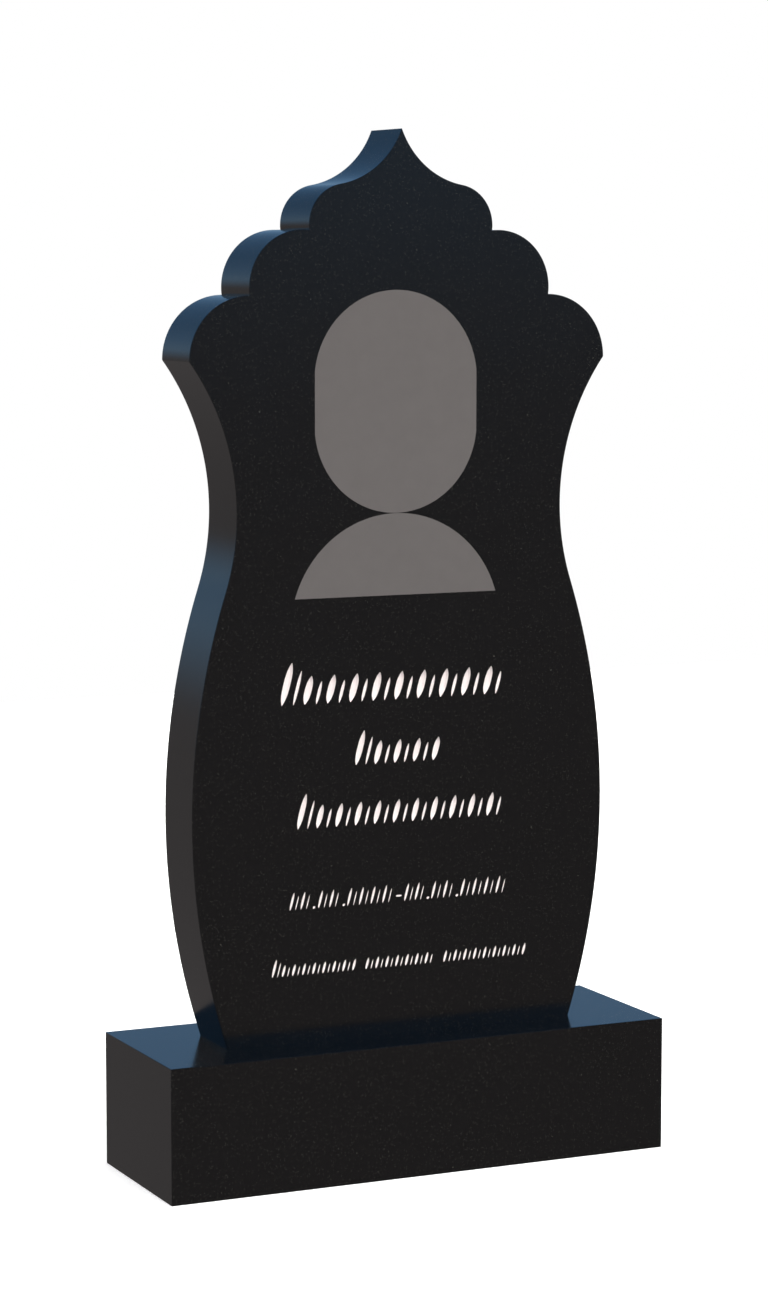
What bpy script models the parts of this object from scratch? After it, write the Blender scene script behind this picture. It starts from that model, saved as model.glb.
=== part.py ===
"""A headstone of polished black stone: a tall slab with a lobed, pointed head, on a low plinth.

Units are metres and +Z is up. The slab's inscribed face looks along -Y, and the origin is the
centre of the plinth's underside.
"""

import math
from typing import NamedTuple

import bmesh
import bpy
from mathutils import Matrix, Vector

PLINTH_WIDTH = 0.600
PLINTH_DEPTH = 0.200
PLINTH_HEIGHT = 0.150

SLAB_THICKNESS = 0.080
# The slab's foot clears the plinth by this much, where the real one is bedded on a film of glue.
BED_JOINT = 0.0003

# The slab's right-hand edge runs from its foot to its peak as six circular arcs. Each has the
# point where it ends, as (distance from the centre line, height above the foot), and how far
# its middle stands outside its chord, or inside it where the number is negative.
FOOT = (0.210, 0.000)
EDGE_ARCS = {
    "belly": ((0.210, 0.500), 0.0400),
    "throat": ((0.250, 0.750), -0.0308),
    "low lobe": ((0.180, 0.820), 0.0205),
    "middle lobe": ((0.110, 0.890), 0.0243),
    "high lobe": ((0.0736, 0.9394), 0.0123),
    "ogee": ((0.000, 1.000), -0.0127),
}
# An arc's facets leave the true circle by no more than this.
FACET_ERROR = 0.0001

# The inscription's place holds rows of slanted strokes. A stroke is a long hexagon with a point
# at each end, cut with sloping walls down to a narrower floor. Its depth is a share of its width,
# and its floor a share of its outline. Thin strokes are narrower and shorter by these shares.
SLANT = math.tan(math.radians(15))
STROKE_SIDES = 6
STROKE_DEPTH = 0.3
STROKE_FLOOR = 0.4
THIN_STROKE = 0.45
SHORT_STROKE = 0.8
# The cutters stand this far out of the slab's face.
CUTTER_PROUD = 0.0005


class Row(NamedTuple):
    """One row of strokes: its words are (left end, right end), and its edge is its lower one."""

    words: tuple
    edge: float
    low: float
    tall: float
    thick: float
    spacing: float


# From the top: three rows of one large word each, one of six smaller words, and one of three.
ROWS = (
    Row(((-0.147, 0.127),), edge=0.3750, low=0.0315, tall=0.0470, thick=0.0083, spacing=0.0134),
    Row(((-0.058, 0.048),), edge=0.3045, low=0.0260, tall=0.0385, thick=0.0070, spacing=0.0116),
    Row(((-0.128, 0.127),), edge=0.2375, low=0.0260, tall=0.0390, thick=0.0064, spacing=0.0114),
    Row(
        (
            (-0.136, -0.110),
            (-0.102, -0.075),
            (-0.067, -0.010),
            (0.003, 0.029),
            (0.036, 0.065),
            (0.072, 0.131),
        ),
        edge=0.1482,
        low=0.0196,
        tall=0.0196,
        thick=0.0028,
        spacing=0.0071,
    ),
    Row(
        ((-0.158, -0.055), (-0.045, 0.040), (0.051, 0.156)),
        edge=0.0750,
        low=0.0130,
        tall=0.0200,
        thick=0.0030,
        spacing=0.0062,
    ),
)
# Small lozenges part the fourth row's words, and a short level stroke parts its halves.
STOPS = (-0.1065, -0.0705, 0.0325, 0.0685)
STOP_SIZE = 0.0030
STOP_HEIGHT = 0.1497
DASH = -0.0034
DASH_LENGTH = 0.0072
DASH_WIDTH = 0.0022
DASH_HEIGHT = 0.1547


def arc_points(start, end, rise):
    """Points along an arc, without its start: its middle stands rise to the right of the way."""
    chord = Vector(end) - Vector(start)
    half_angle = 2 * math.atan(2 * rise / chord.length)
    radius = chord.length / 2 / math.sin(abs(half_angle))
    facets = math.ceil(abs(half_angle) / math.acos(1 - FACET_ERROR / radius))
    points = []
    for i in range(1, facets + 1):
        # Seen from the start, a point swings over half the arc's angle as it moves along.
        passed = half_angle * i / facets
        reach = chord.length * math.sin(passed) / math.sin(half_angle)
        direction = Matrix.Rotation(passed - half_angle, 2) @ chord.normalized()
        points.append(Vector(start) + direction * reach)
    return points


def slab_outline():
    """The slab's whole outline, up its right-hand edge and down its left-hand one."""
    right = [Vector(FOOT)]
    for end, rise in EDGE_ARCS.values():
        right += arc_points(right[-1], end, rise)
    left = [Vector((-p.x, p.y)) for p in reversed(right[:-1])]
    return right + left


def stone(name, grey, roughness):
    """Polished near-black stone, which mirrors its surroundings like any gloss dielectric."""
    material = bpy.data.materials.new(name)
    material.use_nodes = True
    shader = material.node_tree.nodes["Principled BSDF"]
    shader.inputs["Base Color"].default_value = (grey, grey, grey, 1)
    shader.inputs["Roughness"].default_value = roughness
    shader.inputs["Metallic"].default_value = 0.0
    return material


def add_collection(name):
    """Adds a collection to the scene."""
    collection = bpy.data.collections.new(name)
    bpy.context.scene.collection.children.link(collection)
    return collection


def mesh_object(name, shape, collection):
    """Turns a bmesh into an object of its own."""
    mesh = bpy.data.meshes.new(name)
    shape.to_mesh(mesh)
    shape.free()
    thing = bpy.data.objects.new(name, mesh)
    collection.objects.link(thing)
    return thing


def make_plinth(collection):
    """A plain sawn and polished block."""
    shape = bmesh.new()
    bmesh.ops.create_cube(shape, size=1)
    bmesh.ops.scale(shape, vec=(PLINTH_WIDTH, PLINTH_DEPTH, PLINTH_HEIGHT), verts=shape.verts)
    plinth = mesh_object("plinth", shape, collection)
    plinth.location.z = PLINTH_HEIGHT / 2
    plinth.data.materials.append(stone("plinth_stone", 0.012, 0.15))


def draw_outline(collection):
    """The slab's outline as a filled flat curve, as thick as the slab, stood upright."""
    curve = bpy.data.curves.new("slab_outline", "CURVE")
    curve.dimensions = "2D"
    curve.fill_mode = "BOTH"
    curve.extrude = SLAB_THICKNESS / 2
    places = slab_outline()
    edge = curve.splines.new("POLY")
    edge.points.add(len(places) - 1)
    for point, place in zip(edge.points, places):
        point.co = (place.x, place.y, 0, 1)
    edge.use_cyclic_u = True
    drawn = bpy.data.objects.new("slab_outline", curve)
    drawn.rotation_euler.x = math.radians(90)
    drawn.location.z = PLINTH_HEIGHT + BED_JOINT
    collection.objects.link(drawn)
    bpy.context.view_layer.update()
    return drawn


def make_slab(collection, cutter):
    """The outline made a closed mesh, with the strokes cut into its front."""
    drawn = draw_outline(collection)
    evaluated = drawn.evaluated_get(bpy.context.evaluated_depsgraph_get())
    filled = bpy.data.meshes.new_from_object(evaluated)
    shape = bmesh.new()
    shape.from_mesh(filled)
    bmesh.ops.remove_doubles(shape, verts=shape.verts, dist=0.00001)
    # The triangles that fill each flat face become one face.
    bmesh.ops.dissolve_limit(
        shape, angle_limit=math.radians(0.05), verts=shape.verts, edges=shape.edges
    )
    bmesh.ops.recalc_face_normals(shape, faces=shape.faces)
    slab = mesh_object("stele", shape, collection)
    slab.matrix_world = drawn.matrix_world
    bpy.data.objects.remove(drawn)
    bpy.data.meshes.remove(filled)
    slab.data.materials.append(stone("stele_stone", 0.012, 0.12))
    cut = slab.modifiers.new("inscription", "BOOLEAN")
    cut.operation = "DIFFERENCE"
    cut.solver = "EXACT"
    cut.object = cutter


def add_stroke(shape, x, height, width, length, slant=SLANT):
    """Adds one stroke's cutter, its middle at x and at this height above the slab's foot."""
    depth = STROKE_DEPTH * min(width, length)
    # The walls keep their slope where the cutter stands out of the face.
    proud_scale = 1 + (1 - STROKE_FLOOR) * CUTTER_PROUD / depth
    # A unit hexagon with points up and down is this far across its flats.
    flats = 2 * math.cos(math.pi / STROKE_SIDES)
    middle = Vector((x, (depth - CUTTER_PROUD - SLAB_THICKNESS) / 2, height))
    lean = Matrix.Identity(4)
    lean[0][2] = slant
    place = (
        Matrix.Translation(middle + Vector((0, 0, PLINTH_HEIGHT + BED_JOINT)))
        @ lean
        @ Matrix.Rotation(math.radians(-90), 4, "X")
        @ Matrix.Diagonal((width / flats, length / 2, 1, 1))
    )
    bmesh.ops.create_cone(
        shape,
        cap_ends=True,
        segments=STROKE_SIDES,
        radius1=proud_scale,
        radius2=STROKE_FLOOR,
        depth=depth + CUTTER_PROUD,
        matrix=place,
    )


def add_row(shape, row):
    """Fills the row's words with strokes, thick and thin in turn, the row's first two tall."""
    for word, (left, right) in enumerate(row.words):
        count = round((right - left) / row.spacing)
        for i in range(count):
            length = row.tall if word == 0 and i < 2 else row.low
            width = row.thick
            if i % 2 == 1:
                length *= SHORT_STROKE
                width *= THIN_STROKE
            # The strokes' feet are evenly spaced, so a taller one leans further to the right.
            x = left + (right - left) * (i + 0.5) / count + SLANT * (length - row.low) / 2
            add_stroke(shape, x, row.edge + length / 2, width, length)


def make_stroke_cutter(collection):
    """All the strokes' cutters in one mesh, none touching another."""
    shape = bmesh.new()
    for row in ROWS:
        add_row(shape, row)
    for x in STOPS:
        add_stroke(shape, x, STOP_HEIGHT, STOP_SIZE, STOP_SIZE)
    add_stroke(shape, DASH, DASH_HEIGHT, DASH_LENGTH, DASH_WIDTH, slant=0)
    cutter = mesh_object("stroke_cutter", shape, collection)
    cutter.hide_render = True
    cutter.display_type = "WIRE"
    return cutter


def make_headstone():
    for thing in list(bpy.data.objects):
        bpy.data.objects.remove(thing)
    parts = add_collection("headstone")
    cutters = add_collection("cutters")
    make_plinth(parts)
    make_slab(parts, make_stroke_cutter(cutters))


make_headstone()
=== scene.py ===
import math
from typing import NamedTuple

import bmesh
import bpy
from mathutils import Matrix, Vector


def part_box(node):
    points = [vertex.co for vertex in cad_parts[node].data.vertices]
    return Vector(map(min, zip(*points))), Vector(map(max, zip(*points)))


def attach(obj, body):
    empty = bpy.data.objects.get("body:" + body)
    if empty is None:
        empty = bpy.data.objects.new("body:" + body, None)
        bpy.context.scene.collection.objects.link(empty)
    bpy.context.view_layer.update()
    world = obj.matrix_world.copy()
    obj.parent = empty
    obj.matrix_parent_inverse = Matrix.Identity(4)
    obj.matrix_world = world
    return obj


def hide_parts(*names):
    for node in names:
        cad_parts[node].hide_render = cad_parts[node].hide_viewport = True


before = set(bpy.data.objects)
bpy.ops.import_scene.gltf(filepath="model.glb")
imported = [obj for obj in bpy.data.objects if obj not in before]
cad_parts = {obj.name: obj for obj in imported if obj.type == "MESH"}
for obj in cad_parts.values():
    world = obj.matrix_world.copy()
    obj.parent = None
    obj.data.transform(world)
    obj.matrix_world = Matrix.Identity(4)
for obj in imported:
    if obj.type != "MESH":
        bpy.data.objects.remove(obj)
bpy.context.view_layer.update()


# The plinth: one block of black gabbro, sawn square. Its top and sides are ground and polished
# like the slab, its underside is left as the saw leaves it, and its arrises are rubbed down by
# hand so that they don't chip.

ARRIS = 0.0005
ARRIS_SEGMENTS = 4
SHARP_ANGLE = math.radians(30)

# The mean of its feldspar's and its pyroxene's. The strokes' enamel has one close to it.
GABBRO_IOR = 1.6
# Plates of feldspar lie in the stone about this far apart, and are this wide and this thick. This
# share of them is too clear to show. Real plates are half this size, and are drawn coarser.
PLATE_SPACING = 0.0024
PLATE_WIDTH = 0.0024
PLATE_THICKNESS = 0.0004
CLEAR_PLATES = 0.2
# Each plate has a random colour, and its digits finer than this many steps say how clear it is.
COLOUR_STEPS = 64
# The dark minerals' grains are this wide, and their noise lies mostly between these two values.
DARK_GRAIN = 0.0012
DARKEST_GRAIN = 0.35
PALEST_GRAIN = 0.65
# The polish is this rough, give or take this much, over patches this wide.
POLISH = 0.16
POLISH_VARIES = 0.02
POLISHED_PATCH = 0.050
# The saw's scores are this wide and this long.
SCORE_WIDTH = 0.0015
SCORE_LENGTH = 1 / 3


def srgb(code):
    """A colour's sRGB hex code as linear red, green, blue and an alpha of 1."""
    shares = [int(code[i : i + 2], 16) / 255 for i in (1, 3, 5)]
    linear = [s / 12.92 if s <= 0.04045 else ((s + 0.055) / 1.055) ** 2.4 for s in shares]
    return (*linear, 1)


def add_node(tree, kind, inputs=None, **settings):
    """Adds a node: settings are its own, and inputs sets or links its sockets by name or place."""
    node = tree.nodes.new(kind)
    for name, value in settings.items():
        setattr(node, name, value)
    for socket, value in (inputs or {}).items():
        if isinstance(value, bpy.types.NodeSocket):
            tree.links.new(value, node.inputs[socket])
        else:
            node.inputs[socket].default_value = value
    return node


def new_finish(name, roughness):
    """Starts a material, and returns it, its tree, its shader and its object coordinates."""
    material = bpy.data.materials.new(name)
    material.use_nodes = True
    tree = material.node_tree
    shader = tree.nodes["Principled BSDF"]
    shader.inputs["Roughness"].default_value = roughness
    shader.inputs["IOR"].default_value = GABBRO_IOR
    return material, tree, shader, add_node(tree, "ShaderNodeTexCoord").outputs["Object"]


def polished_gabbro():
    """Black gabbro ground and polished: a nearly black stone under a clear, slightly soft gloss.

    The polished face cuts the thin plates of feldspar in it into faint grey streaks that lie
    every way, and its dark minerals show as a still fainter mottle.
    """
    material, tree, shader, place = new_finish("polished_gabbro", roughness=POLISH)

    # One plate goes through each cell's point. The cell's colour says which way the plate faces.
    cell = add_node(tree, "ShaderNodeTexVoronoi", {"Vector": place, "Scale": 1 / PLATE_SPACING})
    offset = add_node(
        tree,
        "ShaderNodeVectorMath",
        {0: place, 1: cell.outputs["Position"]},
        operation="SUBTRACT",
    )
    tilt = add_node(
        tree,
        "ShaderNodeVectorMath",
        {0: cell.outputs["Color"], 1: (0.5, 0.5, 0.5)},
        operation="SUBTRACT",
    )
    facing = add_node(tree, "ShaderNodeVectorMath", {0: tilt.outputs[0]}, operation="NORMALIZE")
    off_plane = add_node(
        tree,
        "ShaderNodeVectorMath",
        {0: offset.outputs[0], 1: facing.outputs[0]},
        operation="DOT_PRODUCT",
    )
    beside = add_node(
        tree, "ShaderNodeMath", {0: off_plane.outputs["Value"]}, operation="ABSOLUTE"
    )
    cut = add_node(
        tree,
        "ShaderNodeMapRange",
        {"Value": beside.outputs[0], "From Min": PLATE_THICKNESS / 2, "From Max": 0},
    )
    away = add_node(tree, "ShaderNodeVectorMath", {0: offset.outputs[0]}, operation="LENGTH")
    reached = add_node(
        tree,
        "ShaderNodeMapRange",
        {"Value": away.outputs["Value"], "From Min": PLATE_WIDTH / 2, "From Max": PLATE_WIDTH / 3},
    )
    streak = add_node(
        tree,
        "ShaderNodeMath",
        {0: cut.outputs[0], 1: reached.outputs[0]},
        operation="MULTIPLY",
    )
    # Some plates are clear and some cloudy, which the colour's finer digits say.
    digits = add_node(tree, "ShaderNodeSeparateColor", {"Color": cell.outputs["Color"]})
    steps = add_node(
        tree,
        "ShaderNodeMath",
        {0: digits.outputs["Blue"], 1: COLOUR_STEPS},
        operation="MULTIPLY",
    )
    finer = add_node(tree, "ShaderNodeMath", {0: steps.outputs[0]}, operation="FRACT")
    cloudy = add_node(
        tree, "ShaderNodeMapRange", {"Value": finer.outputs[0], "From Min": CLEAR_PLATES}
    )
    shown = add_node(
        tree,
        "ShaderNodeMath",
        {0: streak.outputs[0], 1: cloudy.outputs[0]},
        operation="MULTIPLY",
    )

    mottle = add_node(
        tree,
        "ShaderNodeTexNoise",
        {"Vector": place, "Scale": 1 / DARK_GRAIN, "Detail": 3, "Roughness": 0.6},
    )
    ground = add_node(tree, "ShaderNodeValToRGB", {"Fac": mottle.outputs["Fac"]})
    darkest, palest = ground.color_ramp.elements
    darkest.position = DARKEST_GRAIN
    darkest.color = srgb("#030303")
    palest.position = PALEST_GRAIN
    palest.color = srgb("#070606")
    colour = add_node(
        tree,
        "ShaderNodeMix",
        {"Factor": shown.outputs[0], "A": ground.outputs["Color"], "B": srgb("#3f3e38")},
        data_type="RGBA",
    )
    tree.links.new(colour.outputs["Result"], shader.inputs["Base Color"])

    # The gloss is a little softer in broad patches, where the polishing head dwelt less.
    patch = add_node(tree, "ShaderNodeTexNoise", {"Vector": place, "Scale": 1 / POLISHED_PATCH})
    softness = {"To Min": POLISH - POLISH_VARIES, "To Max": POLISH + POLISH_VARIES}
    gloss = add_node(tree, "ShaderNodeMapRange", {"Value": patch.outputs["Fac"], **softness})
    tree.links.new(gloss.outputs[0], shader.inputs["Roughness"])
    return material


def sawn_gabbro():
    """The same stone off the saw: matt and greyer, because every grain is bruised, with scores."""
    material, tree, shader, place = new_finish("sawn_gabbro", roughness=0.75)
    drawn_out = add_node(
        tree,
        "ShaderNodeMapping",
        {"Vector": place, "Scale": (1 / SCORE_LENGTH, 1 / SCORE_WIDTH, 1 / SCORE_WIDTH)},
    )
    score = add_node(
        tree, "ShaderNodeTexNoise", {"Vector": drawn_out.outputs[0], "Scale": 1, "Detail": 2}
    )
    grain = add_node(
        tree, "ShaderNodeTexNoise", {"Vector": place, "Scale": 1 / DARK_GRAIN, "Detail": 4}
    )
    bruise = add_node(
        tree,
        "ShaderNodeMath",
        {0: score.outputs["Fac"], 1: grain.outputs["Fac"]},
        operation="MULTIPLY",
    )
    colour = add_node(
        tree,
        "ShaderNodeMix",
        {"Factor": bruise.outputs[0], "A": srgb("#343436"), "B": srgb("#6b6a68")},
        data_type="RGBA",
    )
    tree.links.new(colour.outputs["Result"], shader.inputs["Base Color"])
    scored = add_node(
        tree,
        "ShaderNodeBump",
        {"Height": score.outputs["Fac"], "Strength": 0.4, "Distance": 0.0003},
    )
    tree.links.new(scored.outputs["Normal"], shader.inputs["Normal"])
    return material


def rub_down(shape, arrises):
    """Rounds these edges, as a rubbing stone does, and shades the round smooth."""
    rounded = bmesh.ops.bevel(
        shape,
        geom=arrises,
        offset=ARRIS,
        segments=ARRIS_SEGMENTS,
        profile=0.5,
        affect="EDGES",
        material=-1,
    )
    for face in rounded["faces"]:
        face.smooth = True


def finish_piece(shape, name, finishes):
    """Turns a bmesh into a piece of the headstone in these finishes, which rides its body."""
    bmesh.ops.recalc_face_normals(shape, faces=shape.faces)
    for edge in shape.edges:
        edge.smooth = edge.calc_face_angle(math.pi) < SHARP_ANGLE
    mesh = bpy.data.meshes.new(name)
    shape.to_mesh(mesh)
    shape.free()
    for finish in finishes:
        mesh.materials.append(finish)
    piece = bpy.data.objects.new(name, mesh)
    bpy.context.scene.collection.objects.link(piece)
    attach(piece, "root")
    return piece


POLISHED = 0
SAWN = 1
stone_finishes = [polished_gabbro(), sawn_gabbro()]

plinth_low, plinth_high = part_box("plinth")
block = bmesh.new()
bmesh.ops.create_cube(block, size=1)
bmesh.ops.scale(block, vec=plinth_high - plinth_low, verts=block.verts)
bmesh.ops.translate(block, vec=(plinth_low + plinth_high) / 2, verts=block.verts)
underside = min(block.faces, key=lambda face: face.calc_center_median().z)
underside.material_index = SAWN
rub_down(block, block.edges[:])
plinth = finish_piece(block, "plinth_block", stone_finishes)
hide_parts("plinth")


# The slab: the same gabbro, sawn to its outline with a wire and polished front, back and edge.
# The outline is arcs that run into each other: belly, throat, three lobes and an ogee up to the
# peak. The slab is glued upright on the plinth by its sawn foot.

FOOT = (0.210, 0.000)
EDGE_ARCS = {
    "belly": ((0.210, 0.500), 0.0400),
    "throat": ((0.250, 0.750), -0.0308),
    "low lobe": ((0.180, 0.820), 0.0205),
    "middle lobe": ((0.110, 0.890), 0.0243),
    "high lobe": ((0.0736, 0.9394), 0.0123),
    "ogee": ((0.000, 1.000), -0.0127),
}
# An arc's facets leave the true circle by no more than this.
FACET_ERROR = 0.00002
# Points nearer than this are one point.
MERGE = 0.00001
# A face that looks squarely one way has at least this much of its normal that way.
SQUARELY = 0.99

slab_low, slab_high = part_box("stele")


def on_face(x, height):
    """A point on the slab's front, from its centre line and its foot."""
    return Vector((x, slab_low.y, slab_low.z + height))


def draw_on(shape, tip, end, rise=0):
    """Draws a line or an arc on the slab's front, from a vertex to a place, and returns its end.

    An arc's middle stands rise to the right of the straight way.
    """
    end = on_face(*end)
    if not rise:
        corner = shape.verts.new(end)
        shape.edges.new((tip, corner))
        return corner
    way = end - tip.co
    right = Vector((way.z, 0, -way.x)).normalized()
    radius = (way.length_squared / 4 + rise**2) / (2 * rise)
    angle = 4 * math.atan(2 * rise / way.length)
    facet_angle = 2 * math.acos(1 - FACET_ERROR / abs(radius))
    swept = bmesh.ops.spin(
        shape,
        geom=[tip],
        cent=(tip.co + end) / 2 + right * (rise - radius),
        axis=(0, -1, 0),
        angle=angle,
        steps=math.ceil(abs(angle) / facet_angle),
    )
    return next(part for part in swept["geom_last"] if isinstance(part, bmesh.types.BMVert))


stone = bmesh.new()
middle = stone.verts.new(on_face(0, 0))
corner = draw_on(stone, middle, FOOT)
tip = corner
for end, rise in EDGE_ARCS.values():
    tip = draw_on(stone, tip, end, rise)
# The solid's foot stands clear of the plinth by the glue's thickness, and this one fills it.
middle.co.z = plinth_high.z
corner.co.z = plinth_high.z
bmesh.ops.mirror(stone, geom=stone.verts[:] + stone.edges[:], axis="X", merge_dist=MERGE)
bmesh.ops.contextual_create(stone, geom=stone.edges[:])
grown = bmesh.ops.extrude_face_region(stone, geom=stone.faces[:])["geom"]
back = [part for part in grown if isinstance(part, bmesh.types.BMVert)]
bmesh.ops.translate(stone, vec=(0, slab_high.y - slab_low.y, 0), verts=back)
bmesh.ops.recalc_face_normals(stone, faces=stone.faces)
for face in stone.faces:
    is_foot = face.normal.z < -SQUARELY
    is_broad = abs(face.normal.y) > SQUARELY
    face.smooth = not is_foot and not is_broad
    face.material_index = SAWN if is_foot else POLISHED
arrises = [
    edge
    for edge in stone.edges
    if edge.calc_face_angle() > SHARP_ANGLE
    and edge.is_convex
    and max(vert.co.z for vert in edge.verts) > plinth_high.z + MERGE
]
rub_down(stone, arrises)

# The front is taken out here, and its edges are kept: it is filled in again once the figure and
# the inscription have been let into it.
front = max(stone.faces, key=lambda face: -face.normal.y * face.calc_area())
front_edges = front.edges[:]
bmesh.ops.delete(stone, geom=[front], context="FACES_ONLY")


# The half figure: a head and shoulders in outline, with no features. It is pecked into the polish
# with a steel point, which bruises the black stone to a matt grey. It has no depth to speak of,
# so it lies level with the face.

# The head's sides are straight from jaw to temple, and its crown and its chin rise this far past
# them. The bust is one arc over a straight foot. Heights are above the slab's foot.
FIGURE_X = -0.0065
HEAD_HALF_WIDTH = 0.0975
JAW = 0.6697
TEMPLE = 0.7374
HEAD_RISE = 0.0880
BUST_HALF_WIDTH = 0.1218
BUST_FOOT = 0.4910
BUST_RISE = 0.0904
# Real pecks are about 0.3 mm apart. They would be too fine to show, and are drawn coarser. They
# bruise the stone unevenly, by this share of what the broader patches do.
PECK_SPACING = 0.0010
PECK_SHARE = 0.3
PECKED_PATCH = 0.015


def pecked_gabbro():
    """Black gabbro bruised by a point: dull mid grey, stippled, with no gloss left at all."""
    material, tree, shader, place = new_finish("pecked_gabbro", roughness=0.9)
    peck = add_node(tree, "ShaderNodeTexVoronoi", {"Vector": place, "Scale": 1 / PECK_SPACING})
    patch = add_node(
        tree, "ShaderNodeTexNoise", {"Vector": place, "Scale": 1 / PECKED_PATCH, "Detail": 4}
    )
    bruise = add_node(
        tree,
        "ShaderNodeMath",
        {0: peck.outputs["Distance"], 1: PECK_SHARE, 2: patch.outputs["Fac"]},
        operation="MULTIPLY_ADD",
    )
    colour = add_node(
        tree,
        "ShaderNodeMix",
        {"Factor": bruise.outputs[0], "A": srgb("#625d5b"), "B": srgb("#5c5755")},
        data_type="RGBA",
    )
    tree.links.new(colour.outputs["Result"], shader.inputs["Base Color"])
    pitted = add_node(
        tree,
        "ShaderNodeBump",
        {"Height": peck.outputs["Distance"], "Strength": 0.3, "Distance": 0.0001},
    )
    tree.links.new(pitted.outputs["Normal"], shader.inputs["Normal"])
    return material


PECKED = 2
stone_finishes.append(pecked_gabbro())


def let_in(shape, start, legs):
    """Draws a closed ring on the slab's front, fills it with one pecked face, and returns it."""
    first = shape.verts.new(on_face(*start))
    tip = first
    for end, rise in legs:
        tip = draw_on(shape, tip, end, rise)
    bmesh.ops.remove_doubles(shape, verts=[first, tip], dist=MERGE)
    ring = [edge for edge in shape.edges if edge.is_wire]
    bmesh.ops.contextual_create(shape, geom=ring, mat_nr=PECKED)
    return ring


head_left = FIGURE_X - HEAD_HALF_WIDTH
head_right = FIGURE_X + HEAD_HALF_WIDTH
head = (
    ((head_right, TEMPLE), 0),
    ((head_left, TEMPLE), HEAD_RISE),
    ((head_left, JAW), 0),
    ((head_right, JAW), HEAD_RISE),
)
front_edges += let_in(stone, (head_right, JAW), head)

bust_left = FIGURE_X - BUST_HALF_WIDTH
bust_right = FIGURE_X + BUST_HALF_WIDTH
bust = (((bust_left, BUST_FOOT), BUST_RISE), ((bust_right, BUST_FOOT), 0))
front_edges += let_in(stone, (bust_right, BUST_FOOT), bust)


# The inscription's place: rows of short slanted strokes, which are no letters. Each is a groove
# cut with a round-nosed tool, that runs out to a point at both ends. They are thick and thin in
# turn, and stand in words.

SLANT = math.tan(math.radians(15))
STROKE_SEGMENTS = 24
# A stroke's sides bow out by this power: a higher one makes it fuller towards its points.
STROKE_FULLNESS = 3
# A groove's depth is a share of its width. Inside its outline it has two more rings. Each has
# shares of the width and length of the ring outside it, and lies at a share of the depth.
STROKE_DEPTH = 0.3
STROKE_RINGS = ((0.72, 0.90, 0.65), (0.42, 0.89, 1.00))
# Thin strokes are narrower and shorter by these shares.
THIN_STROKE = 0.45
SHORT_STROKE = 0.8


class Row(NamedTuple):
    """One row of strokes: its words are (left end, right end), and its edge is its lower one."""

    words: tuple
    edge: float
    low: float
    tall: float
    thick: float
    spacing: float


# From the top: three rows of one large word each, one of six smaller words, and one of three.
ROWS = (
    Row(((-0.147, 0.127),), edge=0.3750, low=0.0315, tall=0.0470, thick=0.0083, spacing=0.0134),
    Row(((-0.058, 0.048),), edge=0.3045, low=0.0260, tall=0.0385, thick=0.0070, spacing=0.0116),
    Row(((-0.128, 0.127),), edge=0.2375, low=0.0260, tall=0.0390, thick=0.0064, spacing=0.0114),
    Row(
        (
            (-0.136, -0.110),
            (-0.102, -0.075),
            (-0.067, -0.010),
            (0.003, 0.029),
            (0.036, 0.065),
            (0.072, 0.131),
        ),
        edge=0.1482,
        low=0.0196,
        tall=0.0196,
        thick=0.0028,
        spacing=0.0071,
    ),
    Row(
        ((-0.158, -0.055), (-0.045, 0.040), (0.051, 0.156)),
        edge=0.0750,
        low=0.0130,
        tall=0.0200,
        thick=0.0030,
        spacing=0.0062,
    ),
)
# Small lozenges part the fourth row's words, and a short level stroke parts its halves.
STOPS = (-0.1065, -0.0705, 0.0325, 0.0685)
STOP_SIZE = 0.0030
STOP_HEIGHT = 0.1497
DASH = -0.0034
DASH_LENGTH = 0.0072
DASH_WIDTH = 0.0022
DASH_HEIGHT = 0.1547


def cut_stroke(shape, x, height, width, length, slant=SLANT):
    """Adds one stroke's groove, open at the slab's front, and returns its outline there."""
    drawn = bmesh.ops.create_circle(shape, cap_ends=False, segments=STROKE_SEGMENTS, radius=1)
    groove = drawn["verts"]
    for vert in groove:
        vert.co.x = math.copysign(1 - abs(vert.co.y) ** STROKE_FULLNESS, vert.co.x)
    outline = [edge for edge in shape.edges if edge.is_wire]
    ring = outline
    for wide, long, deep in STROKE_RINGS:
        grown = bmesh.ops.extrude_edge_only(shape, edges=ring)["geom"]
        ring = [part for part in grown if isinstance(part, bmesh.types.BMEdge)]
        inner = [part for part in grown if isinstance(part, bmesh.types.BMVert)]
        for vert in inner:
            vert.co = (vert.co.x * wide, vert.co.y * long, deep)
        groove += inner
    bmesh.ops.contextual_create(shape, geom=ring)
    for vert in groove:
        for face in vert.link_faces:
            face.smooth = True
    leaning = Matrix.Identity(4)
    leaning[0][2] = slant
    place = (
        Matrix.Translation(on_face(x, height))
        @ leaning
        @ Matrix.Rotation(math.radians(-90), 4, "X")
        @ Matrix.Diagonal((width / 2, length / 2, STROKE_DEPTH * min(width, length), 1))
    )
    bmesh.ops.transform(shape, matrix=place, verts=groove)
    return outline


def cut_row(shape, row):
    """Fills the row's words with strokes, and returns their outlines.

    They are thick and thin in turn, and the row's first two are tall.
    """
    outlines = []
    for word, (left, right) in enumerate(row.words):
        count = round((right - left) / row.spacing)
        for i in range(count):
            length = row.tall if word == 0 and i < 2 else row.low
            width = row.thick
            if i % 2 == 1:
                length *= SHORT_STROKE
                width *= THIN_STROKE
            # The strokes' feet are evenly spaced, so a taller one leans further to the right.
            x = left + (right - left) * (i + 0.5) / count + SLANT * (length - row.low) / 2
            outlines += cut_stroke(shape, x, row.edge + length / 2, width, length)
    return outlines


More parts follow.
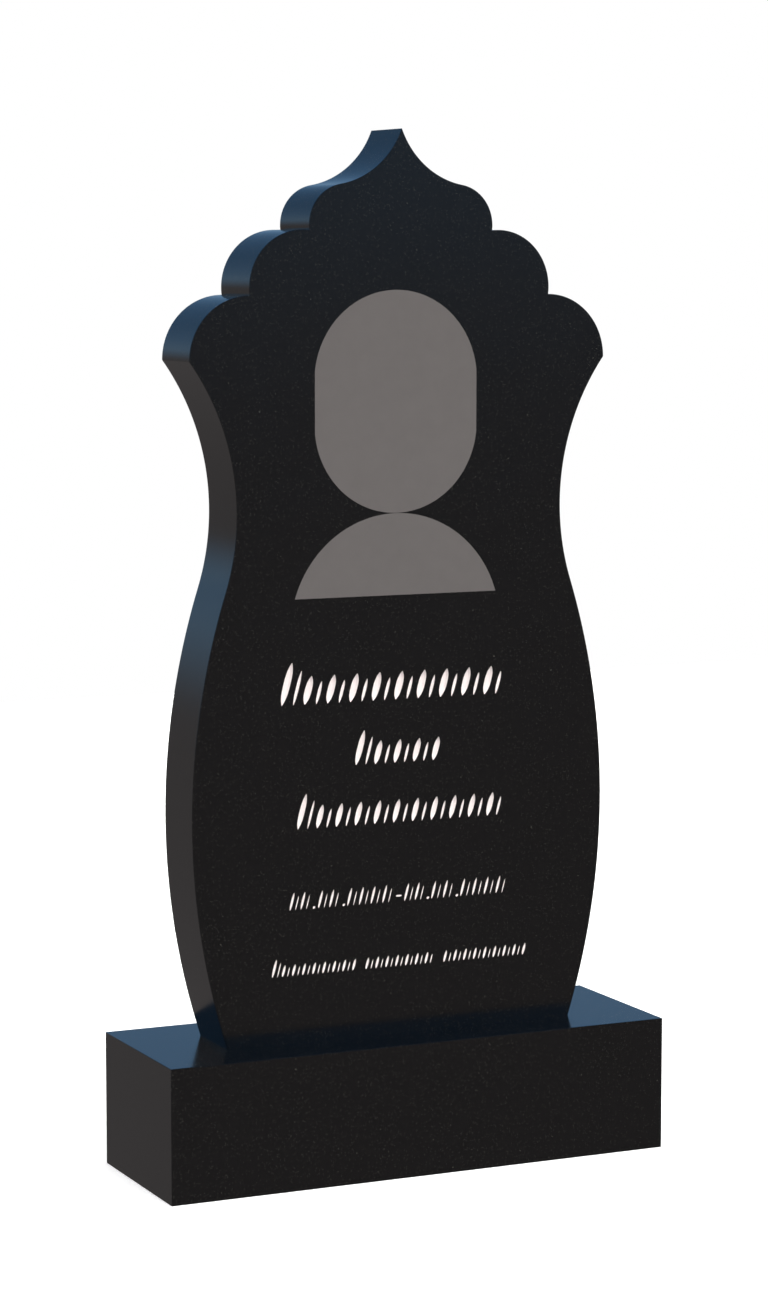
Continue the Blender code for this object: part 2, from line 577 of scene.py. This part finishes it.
def cut_inscription(shape):
    """Adds every stroke's groove to the shape, and returns their outlines."""
    outlines = []
    for row in ROWS:
        outlines += cut_row(shape, row)
    for x in STOPS:
        outlines += cut_stroke(shape, x, STOP_HEIGHT, STOP_SIZE, STOP_SIZE)
    outlines += cut_stroke(shape, DASH, DASH_HEIGHT, DASH_LENGTH, DASH_WIDTH, slant=0)
    return outlines


front_edges += cut_inscription(stone)
bmesh.ops.triangle_fill(stone, edges=front_edges, use_beauty=True, normal=(0, -1, 0))
slab = finish_piece(stone, "stele_slab", stone_finishes)
# The edge is shaded by its broad faces alone, so that its narrow arrises don't bend what it
# mirrors.
shading = slab.modifiers.new("shading", "WEIGHTED_NORMAL")
shading.keep_sharp = True
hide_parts("stele")


# The strokes' paint: off-white stone enamel, brushed into the grooves and wiped off the face
# round them. It is a thin coat, so the groove's own round floor still shows in it.

COAT = 0.0001
BRUSH_MARK = 0.002


def stone_enamel():
    """Off-white enamel, brushed on: opaque and slightly warm, with a low gloss and brush marks."""
    material, tree, shader, place = new_finish("stone_enamel", roughness=0.45)
    brushed = add_node(
        tree, "ShaderNodeTexNoise", {"Vector": place, "Scale": 1 / BRUSH_MARK, "Detail": 2}
    )
    colour = add_node(
        tree,
        "ShaderNodeMix",
        {"Factor": brushed.outputs["Fac"], "A": srgb("#f2e7e4"), "B": srgb("#e9dedb")},
        data_type="RGBA",
    )
    tree.links.new(colour.outputs["Result"], shader.inputs["Base Color"])
    uneven = add_node(
        tree,
        "ShaderNodeBump",
        {"Height": brushed.outputs["Fac"], "Strength": 0.2, "Distance": 0.0002},
    )
    tree.links.new(uneven.outputs["Normal"], shader.inputs["Normal"])
    return material


coat = bmesh.new()
cut_inscription(coat)
bmesh.ops.recalc_face_normals(coat, faces=coat.faces)
bmesh.ops.solidify(coat, geom=coat.faces[:], thickness=COAT)
paint = finish_piece(coat, "inscription_paint", [stone_enamel()])


# The studio: a pale floor under a soft white dome, which is brightest high up ahead of the slab,
# seen from a little above and to the left. What the polish mirrors is darker than the dome: dull
# ground, and a clear sky that is palest just above the horizon.

CAMERA_PLACE = (-1.6342, -3.5181, 1.0166)
CAMERA_DOWN = math.radians(6.523)
CAMERA_TURN = math.radians(-24.875)
CAMERA_LENS = 96.62
FLOOR_SIZE = 8
FLOOR_CLEARANCE = 0.0002
PAPER_GLOW = 0.37

# The dome's light from everywhere, and what its bright patch adds at its middle, which lies this
# way. A higher power makes the patch smaller.
DOME = 0.2
PATCH = 5.0
PATCH_WAY = Vector((0.3, -0.6, 0.9)).normalized()
PATCH_POWER = 3

# What is mirrored at each angle above the horizon, in degrees: the ground, and then the sky, from
# its palest low down to its deepest overhead. Each colour runs into the next.
MIRRORED = (
    (-1, "#787474"),
    (5, "#8cb0d0"),
    (12, "#7098c0"),
    (20, "#5880a8"),
    (90, "#406898"),
)
MIRRORED_LOWEST = -0.1
# To the right it is darker by this share, and ahead of the slab the horizon lies lower by this.
DARKER_RIGHT = 0.17
LOWER_AHEAD = 0.012


def seamless_paper():
    """White background paper: matt, and lit from below as well, so that shadows on it stay pale."""
    material, _, shader, _ = new_finish("seamless_paper", roughness=1)
    white = srgb("#f2f2f2")
    shader.inputs["Base Color"].default_value = white
    shader.inputs["Specular IOR Level"].default_value = 0
    shader.inputs["Emission Color"].default_value = white
    shader.inputs["Emission Strength"].default_value = PAPER_GLOW
    return material


ground = bmesh.new()
bmesh.ops.create_grid(ground, x_segments=1, y_segments=1, size=FLOOR_SIZE / 2)
bmesh.ops.translate(ground, vec=(0, 0, -FLOOR_CLEARANCE), verts=ground.verts)
mesh = bpy.data.meshes.new("floor")
ground.to_mesh(mesh)
ground.free()
mesh.materials.append(seamless_paper())
floor = bpy.data.objects.new("floor", mesh)
# The stone neither mirrors the floor nor is lit by it.
floor.visible_glossy = False
floor.visible_diffuse = False
bpy.context.scene.collection.objects.link(floor)

world = bpy.data.worlds.new("studio")
world.use_nodes = True
# Light that is sampled from the world can't tell gloss from matt stone, so it isn't sampled.
world.cycles.sampling_method = "NONE"
bpy.context.scene.world = world
tree = world.node_tree
direction = add_node(tree, "ShaderNodeTexCoord").outputs["Generated"]

# The dome's light, and its bright patch.
toward = add_node(
    tree, "ShaderNodeVectorMath", {0: direction, 1: PATCH_WAY}, operation="DOT_PRODUCT"
)
facing = add_node(tree, "ShaderNodeMath", {0: toward.outputs["Value"], 1: 0}, operation="MAXIMUM")
patch = add_node(
    tree, "ShaderNodeMath", {0: facing.outputs[0], 1: PATCH_POWER}, operation="POWER"
)
dome = add_node(
    tree, "ShaderNodeMath", {0: patch.outputs[0], 1: PATCH, 2: DOME}, operation="MULTIPLY_ADD"
)

# What the polish mirrors, by its height above the horizon and then by its side.
parts = add_node(tree, "ShaderNodeSeparateXYZ", {"Vector": direction})
risen = add_node(
    tree,
    "ShaderNodeMath",
    {0: parts.outputs["Y"], 1: -LOWER_AHEAD, 2: parts.outputs["Z"]},
    operation="MULTIPLY_ADD",
)
height = add_node(
    tree,
    "ShaderNodeMapRange",
    {"Value": risen.outputs[0], "From Min": MIRRORED_LOWEST, "From Max": 1},
)
sky = add_node(tree, "ShaderNodeValToRGB", {"Fac": height.outputs[0]})
stops = sky.color_ramp.elements
for i, (angle, code) in enumerate(MIRRORED):
    position = (math.sin(math.radians(angle)) - MIRRORED_LOWEST) / (1 - MIRRORED_LOWEST)
    # The ramp has two stops to begin with.
    stop = stops[i] if i < len(stops) else stops.new(position)
    stop.position = position
    stop.color = srgb(code)
share = add_node(
    tree,
    "ShaderNodeMath",
    {0: parts.outputs["X"], 1: -DARKER_RIGHT, 2: 1},
    operation="MULTIPLY_ADD",
)
mirrored = add_node(
    tree,
    "ShaderNodeVectorMath",
    {0: sky.outputs["Color"], "Scale": share.outputs[0]},
    operation="SCALE",
)
# Gloss gets what is mirrored, matt surfaces get the dome's light, and the camera sees white.
ray = add_node(tree, "ShaderNodeLightPath")
lit = add_node(
    tree,
    "ShaderNodeMix",
    {"Factor": ray.outputs["Is Glossy Ray"], "A": dome.outputs[0], "B": mirrored.outputs[0]},
    data_type="RGBA",
)
seen = add_node(
    tree,
    "ShaderNodeMix",
    {"Factor": ray.outputs["Is Camera Ray"], "A": lit.outputs["Result"], "B": (1, 1, 1, 1)},
    data_type="RGBA",
)
tree.links.new(seen.outputs["Result"], tree.nodes["Background"].inputs["Color"])

camera = bpy.data.objects.new("camera", bpy.data.cameras.new("camera"))
camera.location = CAMERA_PLACE
camera.rotation_euler = (math.radians(90) - CAMERA_DOWN, 0, CAMERA_TURN)
camera.data.lens = CAMERA_LENS
bpy.context.scene.collection.objects.link(camera)
bpy.context.scene.camera = camera
# Colours are shown as they are, with no film curve.
bpy.context.scene.view_settings.view_transform = "Standard"
